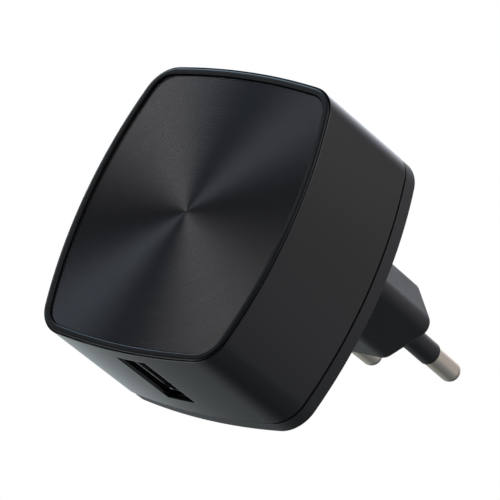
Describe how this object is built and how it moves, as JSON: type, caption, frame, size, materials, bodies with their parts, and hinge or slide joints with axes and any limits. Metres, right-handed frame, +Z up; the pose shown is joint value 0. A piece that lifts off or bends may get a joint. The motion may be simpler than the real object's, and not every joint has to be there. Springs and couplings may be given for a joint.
{
  "type": "usb wall charger",
  "caption": "Bowed square wall charger with a ring-turned face panel, a side USB-A port and a round-pin European plug nose.",
  "frame": {"origin": "midway between the two pins, in the plane of the rear face that comes against the wall socket", "axes": "+Y from the face panel towards the wall socket, along the plug's axis; +Z up, away from the USB port; +X across the face, from one pin to the other"},
  "size_m": [0.0454, 0.0658, 0.0508],
  "materials": {
    "gloss_housing": "gloss black moulding",
    "satin_frame": "satin black moulding",
    "ring_panel": "charcoal plate turned with fine concentric rings",
    "adhesive_tape": "double-sided tape",
    "matte_cover": "fine matte black moulding",
    "nickel_pin": "satin nickel plate",
    "pin_sleeve": "black insulating plastic",
    "bronze_spring": "phosphor bronze strip",
    "board_laminate": "green solder mask",
    "port_steel": "bright nickel-plated sheet",
    "port_insulator": "black insulator",
    "gold_contact": "gold flash",
    "ferrite": "dark sintered ferrite",
    "bobbin_resin": "black phenolic",
    "enamelled_wire": "enamelled copper wire",
    "winding_tape": "yellow polyester tape",
    "tinned_lead": "tinned wire",
    "sleeved_can": "dark shrink sleeve over an aluminium can",
    "bare_can": "bare aluminium can",
    "resistor_coat": "flameproof coating",
    "disc_coat": "blue epoxy coating",
    "chip_resin": "black moulding compound",
    "chip_ceramic": "ceramic chips with tinned ends",
    "solder": "bright solder"
  },
  "bodies": {
    "root": {"housing": "gloss_housing", "front_frame": "satin_frame", "face_panel": "ring_panel", "panel_adhesive": "adhesive_tape", "rear_cover": "matte_cover", "left_pin": "nickel_pin", "right_pin": "nickel_pin", "left_pin_sleeve": "pin_sleeve", "right_pin_sleeve": "pin_sleeve", "left_contact_spring": "bronze_spring", "right_contact_spring": "bronze_spring", "circuit_board": "board_laminate", "usb_shell": "port_steel", "usb_tongue": "port_insulator", "usb_contacts": "gold_contact", "transformer_core": "ferrite", "transformer_bobbin": "bobbin_resin", "transformer_winding": "enamelled_wire", "transformer_tape": "winding_tape", "transformer_pins": "tinned_lead", "input_capacitor_1": "sleeved_can", "input_capacitor_2": "sleeved_can", "output_capacitor_1": "bare_can", "output_capacitor_2": "bare_can", "choke_core": "ferrite", "choke_winding": "enamelled_wire", "fusible_resistor": "resistor_coat", "safety_capacitor": "disc_coat", "bridge_rectifier": "chip_resin", "controller_chip": "chip_resin", "output_rectifier": "chip_resin", "protocol_chip": "chip_resin", "chip_parts": "chip_ceramic", "solder_joints": "solder"}
  },
  "joints": []
}
